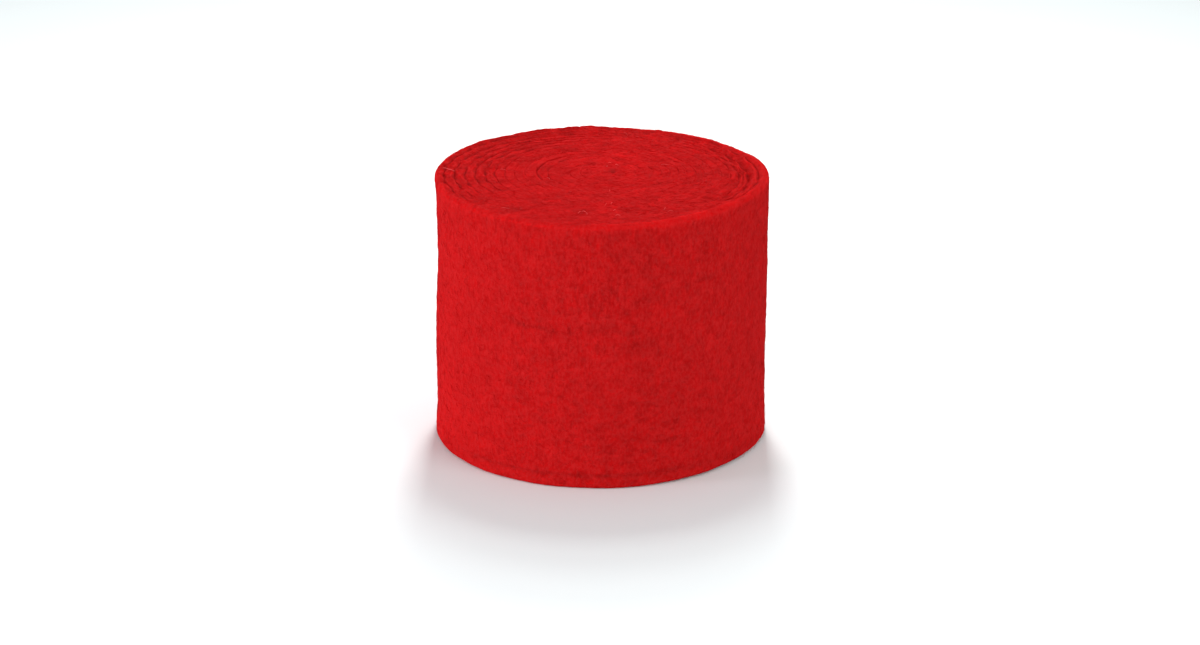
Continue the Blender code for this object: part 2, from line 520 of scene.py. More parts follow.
def openness(x, y, along):
    """How open the winding is, from 0 to 1: the table's raised cosines, broken up along the strip."""
    reach, direction = polar(x, y)
    share = LEAST_OPEN + patches(direction, reach, OPEN_PLACES, OPEN_COLUMNS)
    return np.clip(share * (MEAN_BREAK + ripples(along[:, None], GROOVE_BREAKS)), 0.0, 1.0)


def edge_stray(strip, wound, along):
    """How far the top edge strays: a long and a short ripple along the strip, less in the eye."""
    grown = np.clip(wound / 360.0, LEAST_STRAY, 1.0)
    return strip.edge_unevenness * grown * ripples(along[:, None], EDGE_STRAY)


def pressed(points):
    """Moves points by the roll's dents: radially, by the sum of the table's raised cosines.

    The push is full at the outer face and falls off with the square of the distance from the middle.
    """
    x, y, z = np.moveaxis(points, -1, 0)
    reach, direction = polar(x, y)
    push = patches(direction, z, DENT_PLACES, DENT_COLUMNS)
    scale = 1.0 + push * np.square(reach / CAD_BOX[1].x) / np.maximum(reach, TINY)
    return np.stack((x * scale, y * scale, z), axis=-1)


def creased(points):
    """How deep the creases are at points of the outer face: troughs with a round bottom.

    depth * (1 - side ^ 2) * exp(-rise ^ 2), with side from 0 at the crease's middle to 1 at its ends,
    and rise the half heights from its middle line, which slopes and wavers.
    """
    x, y, z = np.moveaxis(points, -1, 0)
    _, direction = polar(x, y)
    depth = np.zeros_like(x)
    for row in rows(CREASE_PLACES, CREASE_COLUMNS):
        turn = turn_from(direction, row["direction"])
        middle = row["height"] + row["slope"] * np.radians(turn)
        middle = middle + CREASE_WAVER * np.sin(np.radians(turn) * CREASE_WAVES)
        side = np.clip(np.abs(turn) / row["half_spread"], 0.0, 1.0)
        rise = (z - middle) / row["half_height"]
        depth += row["depth"] * (1.0 - side * side) * np.exp(-rise * rise)
    return depth


def corner(edge, side, level, rise, across, down, angles, bend=1.0):
    """One rounded corner of the section, as columns of the section's grid.

    out = side * (edge - across * inward) and height = level - rise * down * drop. Where bend is 1 it is a
    quarter of an ellipse, with 1 - cos(angle) inward and a drop of 1 - sin(angle). Where bend is 0 it is
    the soft side of a groove, with angle / 90 inward and a drop of cos(angle) ^ 2, and the last part
    says how far down in the groove it is. side is 1 outside and -1 inside; rise is 1 at the top edge,
    -1 at the foot.
    """
    trough = (1.0 - bend) * np.square(np.cos(angles))
    inward = bend * (1.0 - np.cos(angles)) + (1.0 - bend) * angles / CORNER_ANGLES[-1]
    drop = bend * (1.0 - np.sin(angles)) + trough
    out = side * (edge - across * inward)
    return out, level - rise * down * drop, side * np.cos(angles), rise * np.sin(angles), trough


def eye_fill(strip, line):
    """How far the first turn's top reaches in over the eye, and how far it dips there.

    Both go with share ^ 2 * (3 - 2 * share) of the squeeze, less a raised cosine at the gap.
    """
    from_eye = np.hypot(line.x + line.shift[0], line.y + line.shift[1]) - strip.thickness / 2.0
    begin, full, lessen, end = EYE_CLOSED
    share = np.minimum((line.wound - begin) / (full - begin), (end - line.wound) / (end - lessen))
    share = np.clip(share, 0.0, 1.0)
    middle, half_spread, taken = EYE_GAP
    share = share * share * (3.0 - 2.0 * share) * (1.0 - taken * hump(line.wound - middle, half_spread))
    return np.maximum(from_eye - EYE_LEFT, 0.0) * share, EYE_DIP * share


def section(strip, line, face_rows, outermost):
    """The strip's section at each place of the winding.

    It is how far out and how high each point is, its normal's parts, and how far down in a groove.

    The faces are upright lines between the corners. The wool of the cut edge spreads over the air at
    each side of it and closes it, but for a soft groove. There it meets the next turn half way between
    their heights, so that the roll's top runs on from turn to turn as
    height = top + (meeting - top) * share ^ 2. On the outside of the roll the rim is worn round instead.
    """
    half = strip.thickness / 2.0
    top = line.top[:, None]
    foot = line.foot[:, None]
    outside = outermost[:, None]
    fill, dip = (values[:, None] for values in eye_fill(strip, line))
    edge_in = half + np.minimum(MOST_SPREAD, SPREAD * line.air_in[:, None]) + fill
    edge_out = half + np.minimum(MOST_SPREAD, SPREAD * line.air_out[:, None]) * (1.0 - outside)
    round_in = strip.corner + (strip.open_corner - strip.corner) * line.slack[:, None]
    groove = GROOVE_DEPTH * round_in
    across_out = round_in + (strip.rim_across - round_in) * outside
    down_out = groove + (strip.rim_down - groove) * outside
    low = FOOT_CORNER
    first = round_in - edge_in
    last = edge_out - across_out
    meet_in = top + (line.top_in[:, None] - top) / 2.0 - dip
    meet_out = top + (line.top_out[:, None] - top) * (1.0 - outside) / 2.0
    face_high = meet_out - down_out
    face_low = foot + low
    face = face_high + (face_low - face_high) * np.arange(1, face_rows + 1) / (face_rows + 1)
    up = CORNER_ANGLES[None, :]
    under = FOOT_ANGLES[None, :]
    columns = (
        (-half, (top + foot) / 2.0, -1.0, 0.0, 0.0),
        corner(edge_in, -1.0, meet_in, 1.0, round_in, groove, up, bend=0.0),
        (first + (last - first) * 0.25, top + (meet_in - top) * 0.25, 0.0, 1.0, 0.0),
        (first + (last - first) * 0.50, top, 0.0, 1.0, 0.0),
        (first + (last - first) * 0.75, top + (meet_out - top) * 0.25, 0.0, 1.0, 0.0),
        corner(edge_out, 1.0, meet_out, 1.0, across_out, down_out, up[:, ::-1], bend=outside),
        (half, face, 1.0, 0.0, 0.0),
        corner(half, 1.0, foot, -1.0, low, low, under),
        corner(half, -1.0, foot, -1.0, low, low, under[:, ::-1]),
    )
    blank = np.zeros_like(top)
    grids = [np.broadcast_arrays(*(blank + value for value in column)) for column in columns]
    return [np.concatenate([grid[part] for grid in grids], axis=1) for part in range(len(columns[0]))]


def at(line, along, values):
    """The winding's values at other places along the strip, by straight interpolation."""
    return np.interp(along, line.along, values)


def resampled(line, along):
    """The winding at other places along the strip."""
    out = unit(np.stack([at(line, along, part) for part in line.out.T], axis=1))
    carried = {name: at(line, along, getattr(line, name)) for name in CARRIED}
    return line._replace(out=out, along=along, **carried)


def outer_turn_start(line):
    """Where along the strip its last full turn begins."""
    return float(np.interp(line.wound[-1] - 360.0, line.wound, line.along))


def face_lumps(strip, points):
    """How far the felt's outer face stands out at these points: soft lumps of three sizes, and creases."""
    return strip.relief * ripples(points, FACE_LUMPS) - creased(points)


def nap_at(points):
    """How coarse the wool's grain is at points: a raised cosine round the face, and even on top."""
    x, y, z = np.moveaxis(points, -1, 0)
    _, direction = polar(x, y)
    side = hump(turn_from(direction, COARSE_SIDE), COARSE_SPREAD)
    face_nap = LEAST_NAP + (1.0 - LEAST_NAP) * side
    return np.where(z > CAD_BOX[1].z - TOP_LAYER, TOP_NAP, face_nap)


def painted_top_light_and_shade(points):
    """How much light is painted on the top at points, below nothing for painted shade: the painted shade
    all over it plus the sum of change * exp(-(away / spread) ^ 2).
    """
    change = np.full(points.shape[:-1], PAINTED_TOP_SHADE)
    for row in rows(PAINTED_TOP_PLACES, PAINTED_TOP_COLUMNS):
        away = np.hypot(points[..., 0] - row["x"], points[..., 1] - row["y"]) / row["spread"]
        change += row["change"] * np.exp(-np.square(away))
    return change


def painted_light_and_wear(strip, line, points, out, high, on_edge, on_face, trough, outermost):
    """How much wear and painted light the wool has at points, or how much painted shade where it is below
    nothing.

    On the rim, which is partly worn and partly has a painted highlight, it is share * exp(-narrowness *
    (depth - down) ^ 2), with depth as a share of the rim's, and share a third more on the side where it is
    brightest. The rim starts a quarter of the felt inside the middle line. The painted highlight adds the
    same again, further up, by its own raised cosine. The foot's painted light adds exp(-(height / foot
    light) ^ 2) / 3.
    The cut edge is paler and darker in blotches and in painted light and shade on the top, and the grooves
    and the eye have painted shade.
    """
    depth = (line.top[:, None] - high) / strip.rim_down
    rim = outermost[:, None] * (out > -strip.thickness / 4.0)
    direction = START_DIRECTION + line.wound[:, None]
    # The rim's band, partly real wear and partly a painted highlight, brightest towards one side
    share = 1.0 + np.cos(np.radians(direction - BRIGHTEST_RIM)) / 3.0
    wear_and_painted_light = rim * share * np.exp(-WEAR_NARROWNESS * np.square(depth - WEAR_DOWN))
    # A painted highlight further up the rim
    share = hump(turn_from(direction, RIM_HIGHLIGHT), RIM_HIGHLIGHT_SPREAD)
    wear_and_painted_light = wear_and_painted_light + rim * share * np.exp(-WEAR_NARROWNESS * np.square(depth - RIM_HIGHLIGHT_DOWN))
    # Painted light near the foot
    wear_and_painted_light = wear_and_painted_light + on_face * np.exp(-np.square(high / FOOT_PAINTED_LIGHT)) / 3.0
    # Random blotches on the cut edge, with painted light and shade on the top
    blotches = ripples(line.along[:, None], STRIP_BLOTCHES)[:, None] + ripples(points, EDGE_BLOTCHES)
    wear_and_painted_light = wear_and_painted_light + on_edge * (blotches + painted_top_light_and_shade(points))
    # Painted shade down in the grooves
    ragged = np.clip(1.0 + ripples(points, GROOVE_RAGS), 0.0, 2.0)
    wear_and_painted_light = wear_and_painted_light - GROOVE_PAINTED_SHADE * trough * line.slack[:, None] * ragged
    # Painted shade in the eye's hollow
    from_eye = np.hypot(*((points[..., i] - EYE_SHADE_MIDDLE[i]) / EYE_SHADE_REACH[i] for i in range(2)))
    return wear_and_painted_light - on_edge * np.exp(-np.square(from_eye))


def swept(strip, line, face_rows, outermost):
    """The section carried along the winding: a grid of points, and the wear and painted light and shade on
    each.

    point = middle line + out * how far out + up * how high, moved along its normal by the lumps, and
    then with the whole roll's dents.
    """
    out, high, normal_out, normal_up, trough = section(strip, line, face_rows, outermost)
    flat = np.zeros(len(line.x))
    middle = np.stack((line.x, line.y, flat), axis=1)[:, None, :]
    outward = np.stack((line.out[:, 0], line.out[:, 1], flat), axis=1)[:, None, :]
    upward = np.array((0.0, 0.0, 1.0))
    points = middle + outward * out[..., None] + upward * high[..., None]
    normals = outward * normal_out[..., None] + upward * normal_up[..., None]
    on_edge = np.clip(normal_up, 0.0, 1.0)
    on_face = np.clip(normal_out, 0.0, 1.0) * outermost[:, None]
    lumps = on_edge * TUFT_HEIGHT * ripples(points, EDGE_TUFTS) + on_face * face_lumps(strip, points)
    wear_and_painted_light = painted_light_and_wear(strip, line, points, out, high, on_edge, on_face, trough, outermost)
    return pressed(points + normals * lumps[..., None]), wear_and_painted_light


def strip_surface(strip):
    """Every point and face of the wound strip, as one closed surface, and its wear and painted light and
    shade.

    The inner turns have a section with one row on the outer face. The outermost turn, whose face
    shows, has many. Both share all their other rows, and one many-sided face joins the two where the
    tail hides it.
    """
    line = wind(strip)
    start = outer_turn_start(line)
    end = line.along[-1]
    inner_line = resampled(line, np.linspace(0.0, start, int(start / COARSE_STEP), endpoint=False))
    outer_line = resampled(line, np.linspace(start, end, int((end - start) / FINE_STEP)))
    beside_tail = np.clip((outer_line.along - start) / TAIL_OVERLAP, 0.0, 1.0)
    inner, inner_wear_and_light = swept(strip, inner_line, 1, np.zeros(len(inner_line.x)))
    outer, outer_wear_and_light = swept(strip, outer_line, FACE_ROWS, beside_tail)
    coarse = inner.shape[1]
    fine = outer.shape[1]
    face_row = coarse - 2 * len(FOOT_ANGLES) - 1
    shared = np.concatenate((np.arange(face_row + 1), np.arange(face_row + FACE_ROWS, fine)))
    inner_index = np.arange(len(inner) * coarse).reshape(-1, coarse)
    outer_index = inner_index.size + np.arange(len(outer) * fine).reshape(-1, fine)
    joint = np.stack((inner_index[-1], outer_index[0][shared]))
    fine_side = outer_index[0, face_row : face_row + FACE_ROWS + 1][::-1]
    many_sided = np.concatenate((joint[0, face_row : face_row + 2], fine_side))
    faces = [
        ring_faces(inner_index),
        ring_faces(outer_index),
        np.delete(ring_faces(joint), face_row, axis=0),
        many_sided[None, :],
        inner_index[0][None, ::-1],
        outer_index[-1][None, :],
    ]
    points = np.concatenate((inner.reshape(-1, 3), outer.reshape(-1, 3)))
    return points, faces, np.concatenate((inner_wear_and_light.ravel(), outer_wear_and_light.ravel()))


def ring_faces(index):
    """The four-sided faces of grids of points, the last two axes of which are rows of closed rings."""
    here = index[..., :-1, :]
    ahead = index[..., 1:, :]
    corners = (here, np.roll(here, -1, axis=-1), np.roll(ahead, -1, axis=-1), ahead)
    return np.stack(corners, axis=-1).reshape(-1, 4)


def enclosed_volume(points, faces):
    """The volume inside a closed surface, below nothing where its faces point inwards.

    It is the sum of first . (second x third) / 6 over the triangles of its faces.
    """
    total = 0.0
    for group in faces:
        first = points[group[:, 0]]
        for step in range(1, group.shape[1] - 1):
            second = points[group[:, step]]
            third = points[group[:, step + 1]]
            total += np.einsum("ij,ij->i", first, np.cross(second, third)).sum() / 6.0
    return float(total)


def added(name, data):
    """A new object with this data, in the scene."""
    made = bpy.data.objects.new(name, data)
    bpy.context.scene.collection.objects.link(made)
    return made


def make_object(name, points, faces, material, flat_groups=()):
    """A mesh object from whole arrays. faces is a list of index arrays, each with faces of one size."""
    if enclosed_volume(points, faces) < 0.0:
        faces = [group[:, ::-1] for group in faces]
    mesh = bpy.data.meshes.new(name)
    corners = np.concatenate([group.ravel() for group in faces]).astype(np.int32)
    sizes = np.concatenate([np.full(len(group), group.shape[1]) for group in faces])
    starts = np.concatenate(([0], np.cumsum(sizes)[:-1])).astype(np.int32)
    smooth = np.concatenate([np.full(len(group), i not in flat_groups) for i, group in enumerate(faces)])
    mesh.vertices.add(len(points))
    mesh.vertices.foreach_set("co", points.astype(np.float32).ravel())
    mesh.loops.add(len(corners))
    mesh.loops.foreach_set("vertex_index", corners)
    mesh.polygons.add(len(sizes))
    mesh.polygons.foreach_set("loop_start", starts)
    mesh.polygons.foreach_set("use_smooth", smooth)
    mesh.update(calc_edges=True)
    if mesh.validate():
        raise RuntimeError(f"{name} has faces that aren't sound")
    mesh.materials.append(material)
    return added(name, mesh)


def set_attribute(made, name, values):
    """Writes one number for each point, for the material to read."""
    attribute = made.data.attributes.new(name, "FLOAT", "POINT")
    attribute.data.foreach_set("value", values.astype(np.float32))


def fibre_tubes(paths, thickness):
    """Closed three-sided tubes along many paths at once.

    paths is fibres x places x 3. A ring's points are path + radius * (cos(a) * side + sin(a) * other),
    with a at 0, 120 and 240 degrees, and radius = thickness / 2 * (1 - end taper * t ^ 4), with t from
    -1 to 1 along the fibre.
    """
    count, places, _ = paths.shape
    ahead = unit(np.gradient(paths, axis=1))
    away = np.where(np.abs(ahead[:, :1, 2:]) > UPRIGHT, (1.0, 0.0, 0.0), (0.0, 0.0, 1.0))
    side = unit(np.cross(ahead, away))
    other = np.cross(ahead, side)
    taper = 1.0 - END_TAPER * np.square(np.linspace(-1.0, 1.0, places)) ** 2
    radius = 0.5 * thickness[:, None, None, None] * taper[None, :, None, None]
    turn = np.radians((0.0, 120.0, 240.0))[None, None, :, None]
    ring = np.cos(turn) * side[:, :, None, :] + np.sin(turn) * other[:, :, None, :]
    points = paths[:, :, None, :] + radius * ring
    index = np.arange(count * places * 3).reshape(count, places, 3)
    ends = np.concatenate((index[:, 0][:, ::-1], index[:, -1]))
    return points.reshape(-1, 3), [ring_faces(index), ends]


def draped(strip, line, x, y, sunk=1.0):
    """A skin drawn over the strip's upper edge, at points seen from above: where it is, and how high.

    Between two turns it runs straight from one top edge to the other, and sinks in the groove by this
    share of its depth. Over the rim it follows the rim's quarter of an ellipse, out = across * sin(a)
    and drop = down * (1 - cos(a)), and further out it hangs straight down.
    """
    from_eye_x = x + line.shift[0]
    from_eye_y = y + line.shift[1]
    reach, direction = polar(from_eye_x, from_eye_y)
    into_turn = (direction - START_DIRECTION) % 360.0
    step = np.floor(into_turn * TURN_STEPS / 360.0).astype(int) % TURN_STEPS
    turns = line.reach[:, step]
    last = np.floor((line.wound[-1] - into_turn) / 360.0).astype(int)
    inner = np.minimum(np.clip((turns <= reach).sum(axis=0) - 1, 0, MOST_TURNS - 2), last)
    outer = np.minimum(inner + 1, last)
    pick = np.arange(len(reach))
    inner_reach = turns[inner, pick]
    span = np.maximum(turns[outer, pick] - inner_reach, TINY)
    share = np.where(outer > inner, np.clip((reach - inner_reach) / span, 0.0, 1.0), 0.0)
    inner_top, slack, outer_top = (
        np.interp(into_turn + 360.0 * turn, line.wound, values)
        for turn, values in ((inner, line.top), (inner, line.slack), (outer, line.top))
    )
    rim_start = inner_reach + strip.thickness / 2.0 - strip.rim_across
    over = np.where(outer > inner, 0.0, np.maximum(reach - rim_start, 0.0))
    bend = np.minimum(over / strip.rim_across, 1.0) * np.pi / 2.0
    drop = strip.rim_down * (1.0 - np.cos(bend)) + np.maximum(over - strip.rim_across, 0.0)
    scale = (reach - over + strip.rim_across * np.sin(bend)) / np.maximum(reach, TINY)
    round_in = strip.corner + (strip.open_corner - strip.corner) * slack
    aside = np.minimum(np.abs(share - 0.5) * span / round_in, 1.0)
    groove = sunk * GROOVE_DEPTH * round_in * np.square(np.cos(np.pi / 2.0 * aside)) * (outer > inner)
    high = inner_top + (outer_top - inner_top) * share - drop - groove
    return from_eye_x * scale - line.shift[0], from_eye_y * scale - line.shift[1], high


def along_fibre(kind):
    """The share of a fibre's length at each of its places."""
    return np.linspace(0.0, 1.0, kind.places)[None, :]


def arched(draw, kind, count):
    """How far the places of fibres stand up in an arch: height * sin(pi * share)."""
    return draw.uniform(*kind.arch, (count, 1)) * np.sin(np.pi * along_fibre(kind))


def risen(draw, kind, count):
    """How far they stand up towards their far end: height * share, with most of the heights small."""
    return draw.exponential(kind.rise, (count, 1)) * along_fibre(kind)


def wander(draw, kind, lengths, chosen=()):
    """Flat curls from the origin: steps of one size whose heading turns steadily and wavers.

    heading = start + bend * share + waver * sin(pace * share + phase), with share from 0 to 1. The first
    curls start at the chosen headings.
    """
    count = len(lengths)
    share = along_fibre(kind)
    start = draw.uniform(0.0, 2.0 * np.pi, (count, 1))
    start[: len(chosen), 0] = chosen
    turn = draw.normal(0.0, kind.bend, (count, 1))
    waver = draw.uniform(*WAVER, (count, 1))
    phase = draw.uniform(0.0, 2.0 * np.pi, (count, 1))
    heading = start + turn * share + waver * np.sin(WAVER_PACE * share + phase)
    step = lengths[:, None] / (kind.places - 1)
    along = np.cumsum(np.cos(heading) * step, axis=1)
    across = np.cumsum(np.sin(heading) * step, axis=1)
    return along - along[:, :1], across - across[:, :1]


def band(strip, low, share):
    """The least and the most height on the outer face, the most by its share of the rim's depth."""
    return low, strip.width - share * strip.rim_down


def outer_face_points(strip, line, along, high, off):
    """Points a little off the roll's outer face, from the distance along the strip and the height.

    On the rim they are further in by across * (1 - sqrt(1 - climb ^ 2)), with climb from 0 to 1 up it.
    """
    along = np.clip(along, line.along[0], line.along[-1])
    parts = (line.x, line.y, line.top, *line.out.T)
    x, y, top, out_x, out_y = (at(line, along, values) for values in parts)
    climb = np.clip((high - top + strip.rim_down) / strip.rim_down, 0.0, 1.0)
    out = strip.thickness / 2.0 - strip.rim_across * (1.0 - np.sqrt(1.0 - climb * climb))
    outward = np.stack((out_x, out_y, np.zeros_like(high)), axis=-1)
    points = np.stack((x, y, np.minimum(high, top)), axis=-1) + outward * out[..., None]
    stand = face_lumps(strip, points) + off
    return pressed(points + outward * stand[..., None])


def top_points(strip, line, x, y, off, sunk=1.0):
    """Points a little off the skin over the roll's top, from where they are as seen from above."""
    skin = [part.reshape(x.shape) for part in draped(strip, line, x.ravel(), y.ravel(), sunk)]
    return pressed(np.stack((skin[0], skin[1], skin[2] + off), axis=-1))


def edge_fibres(strip, line, draw, kind, count):
    """Short fibres that lie over the upper cut edge, from one turn to the next.

    Like the next three functions it gives the paths of its kind of fibre, and how thick each fibre is
    beside the rest of its kind.
    """
    along = draw.uniform(0.0, line.along[-1], count)
    off = draw.uniform(-0.5, 0.5, count) * strip.thickness
    x, y, out_x, out_y = (at(line, along, values) for values in (line.x, line.y, *line.out.T))
    run, cross = wander(draw, kind, draw.uniform(*kind.lengths, count))
    up = kind.off + risen(draw, kind, count) + arched(draw, kind, count)
    x = (x + off * out_x)[:, None] + run
    y = (y + off * out_y)[:, None] + cross
    return top_points(strip, line, x, y, up), 1.0


def face_fibres(strip, line, draw, kind, count):
    """Fibres that lie on the outer face of the roll, in every direction."""
    along = draw.uniform(outer_turn_start(line), line.along[-1], count)
    high = draw.uniform(*band(strip, *FACE_ROOTS), count)
    run, cross = wander(draw, kind, draw.uniform(*kind.lengths, count))
    off = kind.off + arched(draw, kind, count) + risen(draw, kind, count)
    high = np.clip(high[:, None] + cross, *band(strip, *FACE_BAND))
    return outer_face_points(strip, line, along[:, None] + run, high, off), 1.0


def standing_hairs(strip, line, draw, kind, count):
    """Short hairs that leave the outer face and the rim, and bend over more towards their ends.

    off = length * share * cos(bend * share) and sideways = length * share * sin(bend * share).
    """
    along = draw.uniform(outer_turn_start(line), line.along[-1], (count, 1))
    high = draw.uniform(*band(strip, *HAIR_ROOTS), (count, 1))
    reach = draw.uniform(*kind.lengths, (count, 1)) * along_fibre(kind)
    lean = draw.uniform(0.0, 2.0 * np.pi, (count, 1))
    bend = draw.uniform(*kind.bend, (count, 1)) * along_fibre(kind)
    sideways = reach * np.sin(bend)
    heights = np.maximum(high + sideways * np.sin(lean), HAIR_LOWEST)
    off = kind.off + reach * np.cos(bend)
    return outer_face_points(strip, line, along + sideways * np.cos(lean), heights, off), 1.0


def stray_fibres(strip, line, draw, kind, strewn):
    """Long pale fibres on top: those that show in their own places, and more strewn about."""
    placed_x, placed_y, placed_lengths, headings = np.array(STRAY_PLACES).T
    placed = len(STRAY_PLACES)
    count = placed + strewn
    reach = STREWN_REACH * np.sqrt(draw.uniform(0.0, 1.0, strewn))
    around = draw.uniform(0.0, 2.0 * np.pi, strewn)
    x = np.concatenate((placed_x, reach * np.cos(around)))[:, None]
    y = np.concatenate((placed_y, reach * np.sin(around)))[:, None]
    lengths = draw.uniform(*kind.lengths, count)
    lengths[:placed] = placed_lengths
    run, cross = wander(draw, kind, lengths, np.radians(headings))
    up = kind.off + arched(draw, kind, count)
    thickness = np.where(np.arange(count) < placed, 1.0, STREWN_THICKNESS)
    return top_points(strip, line, x + run, y + cross, up, sunk=0.0), thickness


class Wire:
    """A value on its way between two shader nodes. Arithmetic on it adds Math nodes."""

    def __init__(self, shader, socket):
        self.shader = shader
        self.socket = socket

    def math(self, operation, first, second):
        return self.shader.node("ShaderNodeMath", {"operation": operation}, {0: first, 1: second})

    def __add__(self, other):
        return self.math("ADD", self, other)

    __radd__ = __add__

    def __sub__(self, other):
        return self.math("SUBTRACT", self, other)

    def __rsub__(self, other):
        return self.math("SUBTRACT", other, self)

    def __mul__(self, other):
        return self.math("MULTIPLY", self, other)

    __rmul__ = __mul__


class Shader:
    """A material with one Principled BSDF, quite without gloss, and the nodes that feed it."""

    def __init__(self, name, **constants):
        self.material = bpy.data.materials.new(name)
        self.material.use_nodes = True
        self.tree = self.material.node_tree
        self.finish = self.tree.nodes["Principled BSDF"]
        self.finish.inputs["Specular IOR Level"].default_value = 0.0
        for socket, value in constants.items():
            self.finish.inputs[socket.replace("_", " ").title()].default_value = value

    def node(self, kind, settings, inputs, output=0):
        """Adds a node of any kind: its settings first, then the values or wires of its sockets."""
        made = self.tree.nodes.new(kind)
        for name, value in settings.items():
            setattr(made, name, value)
        for name, value in inputs.items():
            self.plug(value, made.inputs[name])
        return Wire(self, made.outputs[output])

    def plug(self, value, socket):
        """Links a wire to a socket, or sets the socket to a plain value."""
        if isinstance(value, Wire):
            self.tree.links.new(value.socket, socket)
        else:
            socket.default_value = value

    def place(self):
        """Where the surface is, in metres."""
        return self.node("ShaderNodeTexCoord", {}, {}, "Object")

    def attribute(self, name):
        """A number that the mesh carries for each of its points."""
        return self.node("ShaderNodeAttribute", {"attribute_name": name}, {}, "Fac")

    def stretched(self, vector, scale):
        """A vector with each of its parts multiplied by its own factor."""
        return self.node("ShaderNodeVectorMath", {"operation": "MULTIPLY"}, {0: vector, 1: scale})

    def moved(self, vector, by):
        """The sum of two vectors."""
        return self.node("ShaderNodeVectorMath", {"operation": "ADD"}, {0: vector, 1: by})

    def noise(self, vector, size, detail=2.0, roughness=0.5, output="Fac"):
        """Cloudy noise about 0.5, whose clouds are about this far across."""
        inputs = {"Vector": vector, "Scale": 1.0 / size, "Detail": detail, "Roughness": roughness}
        return self.node("ShaderNodeTexNoise", {}, inputs, output)

    def ramp(self, value, low, high):
        """0 at low and 1 at high, eased at both ends. low may be the larger."""
        inputs = {"Value": value, "From Min": low, "From Max": high}
        return self.node("ShaderNodeMapRange", {"interpolation_type": "SMOOTHSTEP"}, inputs)

    def height(self, vector):
        """How high a place is."""
        return self.node("ShaderNodeSeparateXYZ", {}, {"Vector": vector}, "Z")

    def blend(self, factor, first, second):
        """A colour between two."""
        return self.node("ShaderNodeMix", {"data_type": "RGBA"}, {0: factor, 6: first, 7: second}, 2)

    def bump(self, height, distance):
        """A normal that leans as a surface of this height would, in units of the distance."""
        return self.node("ShaderNodeBump", {}, {"Height": height, "Distance": distance})


def toned(colour, light, white=0.0):
    """The dyed colour made lighter or darker, and then mixed with white, with an alpha of 1.

    red * light, green * light ^ 0.2, blue * light ^ 0.35: dark wool is browner, and light wool pinker.
    """
    red, green, blue = colour
    shades = (red * light, green * light**0.2, blue * light**0.35)
    return tuple(min(1.0, shade * (1.0 - white) + white) for shade in shades) + (1.0,)


def felt_finish(colour):
    """Matted wool: locks with small pits between them, thin curling ridges and the ends of fibres.

    Brushed marks lie level round the foot and the back, and stand upright higher up in front. The wool
    is paler where it is worn and where light is painted on it, has painted shade in creases, grooves and
    the
    eye, and a painted sheen: a trace of white in its fibre ends.
    """
    shader = Shader(
        "felt",
        sheen_weight=0.09,
        subsurface_weight=0.5,
        subsurface_radius=(1.0, 0.15, 0.15),
        subsurface_scale=0.003,
        **WOOL_SHEEN,
    )
    place = shader.place()
    drift = shader.noise(place, size=0.0060, detail=1.0, output="Color")
    curled = shader.moved(place, shader.stretched(drift, (0.004, 0.004, 0.004)))
    pits = shader.ramp(shader.noise(place, size=0.0019, detail=1.0, roughness=0.4), 0.46, 0.28)
    locks = shader.noise(shader.stretched(curled, (1.0, 1.0, 0.85)), size=0.0034, roughness=0.45)
    tufts = shader.noise(place, size=0.0065) - 0.5
    ridge = shader.noise(curled, size=0.0024, detail=1.0) - 0.5
    ridge = 1.0 - shader.ramp(ridge * ridge, 0.0, 0.0060)
    upright = shader.noise(shader.stretched(place, (1.0, 1.0, 0.42)), size=0.0026, detail=1.0)
    level = shader.noise(shader.stretched(place, (0.36, 0.36, 0.80)), size=0.0026, detail=1.0)
    clouds = shader.noise(place, size=0.018)
    painted_crease_shade = shader.attribute("painted_crease_shade")
    wear_and_painted_light = shader.attribute("wear_and_painted_light")
    nap = shader.attribute("nap")
    climb = shader.ramp(shader.height(place), 0.040, 0.095) * shader.ramp(nap, 0.45, 0.90)
    brushed = shader.ramp(level + climb * (upright - level), 0.50, 0.32)
    ends = shader.noise(shader.stretched(place, (1.0, 1.0, 0.55)), size=0.0013, detail=1.0) - 0.5
    grain = 0.50 * locks + 0.12 * ridge - 0.10 * pits - 0.20 * brushed + 0.22 * ends - 0.21
    rough = nap * (0.80 - 0.40 * shader.ramp(wear_and_painted_light, 0.3, 1.0))
    # Painted light and shade: the rim's highlight, the foot's light and the shade of grooves, the eye and
    # the top come with the wear, and the creases have painted shade
    light = 0.415 + rough * grain + nap * 0.55 * tufts + 0.22 * clouds + 0.40 * wear_and_painted_light - 0.30 * painted_crease_shade
    depth = shader.ramp(light, -0.45, 1.45)
    red = shader.blend(depth, toned(colour, light=0.50), toned(colour, light=1.48))
    # Painted sheen: a trace of white that stands in for glints on the fibre ends
    pale = 0.0046 * shader.ramp(nap * (0.6 * grain + 1.5 * ends), -0.22, 0.22)
    shader.plug(shader.blend(pale, red, (*WHITE, 1.0)), shader.finish.inputs["Base Color"])
    height = 0.4 * locks + 0.18 * ridge - 0.4 * pits - 0.2 * brushed
    shader.plug(shader.bump(height, distance=0.0003), shader.finish.inputs["Normal"])
    shader.plug(0.86 + 0.12 * pits, shader.finish.inputs["Roughness"])
    return shader.material


def wool_finish(name, colour, dark, light, white):
    """Loose wool: each fibre a little lighter or darker than the next."""
    shader = Shader(name, sheen_weight=0.10, roughness=0.8, **WOOL_SHEEN)
    tone = shader.attribute("tone")
    mottle = shader.noise(shader.place(), size=0.0015)
    tone = shader.ramp(tone + 0.6 * mottle, 0.2, 1.4)
    mixed = shader.blend(tone, toned(colour, dark, white), toned(colour, light, white))
    shader.plug(mixed, shader.finish.inputs["Base Color"])
    return shader.material


def dress(piece):
    """Puts a piece on the roll's body."""
    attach(piece, BODY)


